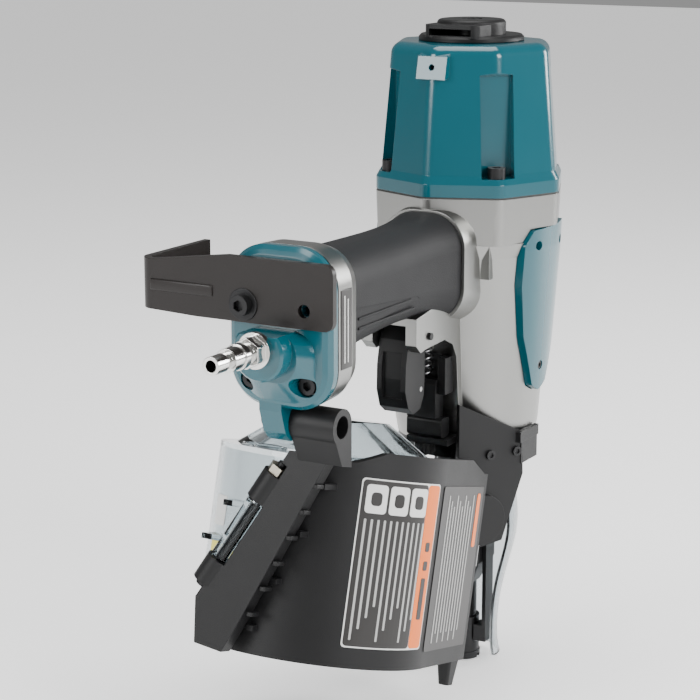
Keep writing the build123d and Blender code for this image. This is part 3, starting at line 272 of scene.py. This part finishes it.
# the canister's own directions, from its base mount and its post
base = next(m for m in record["mounts"] if m["name"] == "magazine_base")
canUp = -Vector(base["axis"]).normalized()
canAhead = Vector((canUp.z, 0, -canUp.x))
canLeft = Vector((0, 1, 0))
canister = {"radius": 64 * mm, "frontAhead": 73 * mm, "frontRight": -57 * mm, "postLength": 60 * mm}
postLow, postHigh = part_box("platform_post")
canFoot = (postLow + postHigh) / 2 - canUp * canister["postLength"] / 2
canPlace = Matrix.Translation(canFoot) @ Matrix((canAhead, canLeft, canUp)).transposed().to_4x4()


def wallPlace(along, height, proud):
    # a point on the fixed case's right wall: flat ahead of the tangent line, round behind it
    reach = math.hypot(canister["frontAhead"], canister["frontRight"])
    turn = math.atan2(canister["frontRight"], canister["frontAhead"]) - math.acos(canister["radius"] / reach)
    if along < 0:
        turn += along / canister["radius"]
    outward = Vector((math.cos(turn), math.sin(turn), 0))
    point = outward * (canister["radius"] + proud)
    if along > 0:
        point += Vector((-outward.y, outward.x, 0)) * along
    return point + Vector((0, 0, height))


def wallLabel(name, alongRange, heightRange, proud, finishName, corner=2 * mm, thickness=0.25 * mm):
    # a thin card wrapped on the wall
    width = alongRange[1] - alongRange[0]
    height = heightRange[1] - heightRange[0]
    cuts = max(1, int(width / (2.5 * mm)))
    piece = flatPanel(name, width, height, thickness, min(corner, width / 3, height / 3), cuts)
    middle = (alongRange[0] + alongRange[1]) / 2
    for vertex in piece.data.vertices:
        x, y, z = vertex.co
        vertex.co = wallPlace(middle + x, (heightRange[0] + heightRange[1]) / 2 + z, proud - y)
    return fitPiece(piece, "housing", finishName, canPlace)


cardProud = {"base": 0.25 * mm, "front": 0.3 * mm, "panel": 0.4 * mm, "frontDetail": 0.45 * mm,
             "detail": 0.5 * mm, "mark": 0.6 * mm}
largeLabel = {"along": (-60 * mm, -6 * mm), "height": (11 * mm, 99 * mm), "border": 0.8 * mm,
              "bandWidth": 12 * mm, "bandGap": 0.4 * mm}
bandMarks = {"heights": ((16, 38), (42, 47), (52, 57)), "inset": 4 * mm, "width": 4 * mm, "corner": 1 * mm}
pictureSquares = {"count": 3, "inset": 3 * mm, "width": 12 * mm, "height": 15 * mm, "markInset": 3 * mm,
                  "markTop": 4 * mm, "markLow": 11 * mm, "markCorner": 2.5 * mm}
largeRules = {"count": 11, "inset": 3.5 * mm, "pitch": 3.7 * mm, "width": 1.3 * mm, "foot": 4, "step": 6,
              "steps": 4, "top": 21 * mm, "corner": 0.5 * mm}
frontLabel = {"along": (0 * mm, 62 * mm), "height": (9 * mm, 98 * mm), "stripInset": (9 * mm, 4 * mm),
              "stripHeight": (34 * mm, 4 * mm)}
frontRules = {"count": 10, "inset": 9 * mm, "pitch": 4.2 * mm, "width": 1.3 * mm, "foot": 4, "footStep": 5,
              "top": 5, "topStep": 3, "corner": 0.5 * mm}


def makePictureSquares(left, high, panelWidth):
    picture = pictureSquares
    top = high - picture["inset"]
    for index in range(picture["count"]):
        start = left + picture["inset"] + index * panelWidth / picture["count"]
        end = start + picture["width"]
        wallLabel("label_square_%d" % index, (start, end), (top - picture["height"], top),
                  cardProud["detail"], "labelPale")
        wallLabel("label_mark_%d" % index, (start + picture["markInset"], end - picture["markInset"]),
                  (top - picture["markLow"], top - picture["markTop"]), cardProud["mark"], "labelDark",
                  corner=picture["markCorner"])


def makeLargeLabel():
    left, right = largeLabel["along"]
    low, high = largeLabel["height"]
    band = largeLabel["bandWidth"]
    border = largeLabel["border"]
    inside = (low + border, high - border)
    wallLabel("label_base", (left, right), (low, high), cardProud["base"], "labelPale")
    wallLabel("label_panel", (left + border, right - band), inside, cardProud["panel"], "labelDark")
    wallLabel("label_band", (right - band + largeLabel["bandGap"], right - border), inside,
              cardProud["panel"], "labelOrange")
    markStart = right - band + bandMarks["inset"]
    for index, (start, end) in enumerate(bandMarks["heights"]):
        wallLabel("label_band_mark_%d" % index, (markStart, markStart + bandMarks["width"]),
                  (low + start * mm, low + end * mm), cardProud["detail"], "labelDark",
                  corner=bandMarks["corner"])
    makePictureSquares(left, high, right - band - left - 2 * border)
    rules = largeRules
    for index in range(rules["count"]):
        across = left + rules["inset"] + index * rules["pitch"]
        foot = low + (rules["foot"] + index % rules["steps"] * rules["step"]) * mm
        wallLabel("label_rule_%d" % index, (across, across + rules["width"]), (foot, high - rules["top"]),
                  cardProud["detail"], "labelLine", corner=rules["corner"])


def makeFrontLabel():
    left, right = frontLabel["along"]
    low, high = frontLabel["height"]
    wallLabel("front_label", (left, right), (low, high), cardProud["front"], "labelDark")
    stripLeft, stripRight = frontLabel["stripInset"]
    stripLow, stripHigh = frontLabel["stripHeight"]
    wallLabel("front_label_top", (right - stripLeft, right - stripRight),
              (high - stripLow, high - stripHigh), cardProud["frontDetail"], "labelOrange")
    rules = frontRules
    for index in range(rules["count"]):
        across = left + rules["inset"] + index * rules["pitch"]
        foot = low + (rules["foot"] + index % 2 * rules["footStep"]) * mm
        top = high - (rules["top"] + index % 3 * rules["topStep"]) * mm
        wallLabel("front_rule_%d" % index, (across, across + rules["width"]), (foot, top),
                  cardProud["frontDetail"], "labelLine", corner=rules["corner"])


makeLargeLabel()
makeFrontLabel()
print("case labels done")

windowLabels = {  # each: the turn round the lid in degrees, then the height in millimetres
    "white": ((139, 151), (62, 78), "labelPale"),
    "yellow": ((139, 153), (34, 54), "labelYellow"),
}
windowCard = {"proud": 0.2 * mm, "thickness": 0.3 * mm, "corner": 1.5 * mm, "cuts": 8}


def makeWindowLabels():
    # two small cards on the clear wall
    for shade, ((start, end), (low, high), finishName) in windowLabels.items():
        radius = canister["radius"] + windowCard["proud"]
        width = math.radians(end - start) * radius
        piece = flatPanel("window_label_" + shade, width, (high - low) * mm, windowCard["thickness"],
                          windowCard["corner"], windowCard["cuts"])
        middle = (low + high) / 2 * mm
        for vertex in piece.data.vertices:
            x, y, z = vertex.co
            turn = math.radians((start + end) / 2) + x / radius
            vertex.co = ((radius - y) * math.cos(turn), (radius - y) * math.sin(turn), z + middle)
        fitPiece(piece, "cap", finishName, canPlace)


makeWindowLabels()


hookWasher = {"outer": 8.2 * mm, "inner": 3.4 * mm, "thickness": 0.7 * mm}
hookRib = {"behind": 46 * mm, "ahead": 8 * mm, "low": 2 * mm, "high": 8 * mm, "proud": 0.8 * mm,
           "sunk": 1.0 * mm, "softness": 0.8 * mm}


def makeHookDetails():
    low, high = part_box("belt_hook")
    boltLow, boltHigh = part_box("hook_bolt")
    middle = (boltLow + boltHigh) / 2
    place = Vector((low.x - hookWasher["thickness"], middle.y, middle.z))
    ring = washer("hook_washer", place, (1, 0, 0), hookWasher["outer"], hookWasher["inner"],
                  hookWasher["thickness"])
    fitPiece(ring, "housing", "dark_steel")
    ribLow = (low.x - hookRib["proud"], high.y - hookRib["behind"], middle.z + hookRib["low"])
    ribHigh = (low.x + hookRib["sunk"], high.y - hookRib["ahead"], middle.z + hookRib["high"])
    rib = roundedBlock("hook_rib", ribLow, ribHigh, hookRib["softness"])
    fitPiece(rib, "housing", "hook_brown")


makeHookDetails()

flangeLabel = {"right": 1.25 * mm, "ahead": (2.0 * mm, 12.5 * mm), "inset": 20 * mm, "depth": 0.6 * mm,
               "softness": 0.15 * mm}
flangeRules = {"count": 2, "ahead": 5, "pitch": 3.2, "width": 0.8 * mm, "inset": 23, "step": 2,
               "proud": 0.1 * mm, "depth": 0.2 * mm, "softness": 0.05 * mm}


def makeFlangeLabel():
    # an upright card on the handle flange's right side, just ahead of the gasket
    low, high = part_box("end_cap_gasket")
    right = low.y - flangeLabel["right"]
    rear, front = flangeLabel["ahead"]
    start = (high.x + rear, right, low.z + flangeLabel["inset"])
    end = (high.x + front, right + flangeLabel["depth"], high.z - flangeLabel["inset"])
    fitPiece(roundedBlock("flange_label", start, end, flangeLabel["softness"]), "housing", "labelDark")
    rules = flangeRules
    for index in range(rules["count"]):
        x = high.x + (rules["ahead"] + index * rules["pitch"]) * mm
        start = (x, right - rules["proud"], low.z + rules["inset"] * mm)
        end = (x + rules["width"], right + rules["depth"],
               high.z - (rules["inset"] + index * rules["step"]) * mm)
        rule = roundedBlock("flange_rule_%d" % index, start, end, rules["softness"])
        fitPiece(rule, "housing", "labelPale")


makeFlangeLabel()

gripLines = {"rear": -164 * mm, "front": -104 * mm, "heights": (234.5 * mm, 239.5 * mm), "side": 20.0 * mm,
             "proud": 0.9 * mm, "half": 0.7 * mm, "step": 4 * mm, "softness": 0.3 * mm}


def makeGripLines():
    # two raised lines along each side of the grip
    for sideName, side in (("right", -1), ("left", 1)):
        inner = side * gripLines["side"]
        outer = side * (gripLines["side"] + gripLines["proud"])
        for index, height in enumerate(gripLines["heights"]):
            low = (gripLines["rear"], min(inner, outer), height - gripLines["half"])
            high = (gripLines["front"] - index * gripLines["step"], max(inner, outer),
                    height + gripLines["half"])
            line = roundedBlock("grip_line_%s_%d" % (sideName, index), low, high, gripLines["softness"])
            fitPiece(line, "housing", "grip_rubber")


makeGripLines()

# the arm's middle line leans from one side at its top to the other at its foot; all in millimetres
armRibs = {"heights": (22, 36, 50, 64, 78, 92), "rear": -76.3, "front": -69.0, "right": 14.2, "left": 11.0,
           "half": 1.2, "softness": 0.5 * mm}
armLine = {"topHeight": 127.0, "topSide": -33.0, "lean": 51.0 / 127.0}


def makeArmRibs():
    # short ribs down the bracket arm's right edge
    for index, height in enumerate(armRibs["heights"]):
        middle = armLine["topSide"] + (armLine["topHeight"] - height) * armLine["lean"]
        low = Vector((armRibs["rear"], middle - armRibs["right"], height - armRibs["half"])) * mm
        high = Vector((armRibs["front"], middle - armRibs["left"], height + armRibs["half"])) * mm
        rib = roundedBlock("arm_rib_%d" % index, low, high, armRibs["softness"])
        fitPiece(rib, "housing", "black_plastic", canPlace)


makeArmRibs()


lidRing = {"place": (-44, 20, 106), "outer": 12 * mm, "inner": 9.5 * mm, "height": 1.6 * mm}


def makeLidRing():
    # low ring moulded on the lid's rear, over the coil's edge
    place = Vector(lidRing["place"]) * mm
    ring = washer("lid_ring", place, (0, 0, 1), lidRing["outer"], lidRing["inner"], lidRing["height"])
    fitPiece(ring, "cap", "clear_plastic", canPlace)


makeLidRing()
print("small pieces done")

lamps = {  # each: place, size and power
    "key": ((-0.5, -1.5, 0.9), 0.7, 26),
    "fill": ((-1.6, 0.7, 0.8), 0.7, 18),
    "side": ((1.1, -1.0, 0.6), 0.6, 20),
    "top": ((0.0, 0.1, 1.8), 1.2, 26),
}
studio = {"floorSize": 12, "floorDrop": 1 * mm, "floorGlow": 0.55, "worldStrength": 0.3,
          "lampAim": (-0.08, 0, 0.2), "dark": (0.93, 0.93, 0.93), "pale": (0.96, 0.96, 0.96)}


def makeFloor():
    deselectAll()
    bpy.ops.mesh.primitive_plane_add(size=studio["floorSize"], location=(0, 0, -studio["floorDrop"]))
    floor = bpy.context.object
    floor.name = "floor"
    f = Finish("floorPaint")
    place = f.out(f.node("ShaderNodeTexCoord"), "Object")
    tone = f.blendColors(f.noise(place, 3.0), studio["dark"], studio["pale"])
    floor.data.materials.append(f.show(f.node("ShaderNodeBsdfPrincipled", None, {
        "Base Color": tone, "Roughness": 0.7, "Emission Color": (1, 1, 1, 1),
        "Emission Strength": studio["floorGlow"]})))
    return floor


def makeLamp(name, spot, size, power):
    data = bpy.data.lights.new(name, "AREA")
    data.size = size
    data.energy = power
    lamp = bpy.data.objects.new(name + "_lamp", data)
    bpy.context.collection.objects.link(lamp)
    lamp.location = spot
    lamp.rotation_euler = (Vector(studio["lampAim"]) - Vector(spot)).to_track_quat("-Z", "Y").to_euler()
    return lamp


def makeStage():
    makeFloor()
    [makeLamp(name, *values) for name, values in lamps.items()]
    world = bpy.data.worlds.new("studio")
    bpy.context.scene.world = world
    world.use_nodes = True
    background = world.node_tree.nodes["Background"]
    background.inputs["Color"].default_value = (1, 1, 1, 1)
    background.inputs["Strength"].default_value = studio["worldStrength"]


cameraView = {"azimuth": -60.0, "elevation": 13.0, "distance": 1.2, "aim": (-0.0343, 0.0594, 0.1884),
              "lens": 105.5, "sensor": 36}


def makeCamera():
    azimuth = math.radians(cameraView["azimuth"])
    elevation = math.radians(cameraView["elevation"])
    back = Vector((math.sin(azimuth) * math.cos(elevation), -math.cos(azimuth) * math.cos(elevation),
                   math.sin(elevation)))
    data = bpy.data.cameras.new("camera")
    data.lens = cameraView["lens"]
    data.sensor_width = cameraView["sensor"]
    camera = bpy.data.objects.new("camera", data)
    bpy.context.collection.objects.link(camera)
    camera.location = Vector(cameraView["aim"]) + back * cameraView["distance"]
    camera.rotation_euler = (-back).to_track_quat("-Z", "Y").to_euler()
    bpy.context.scene.camera = camera


makeStage()
makeCamera()
bpy.context.view_layer.update()
print("stage and camera done")
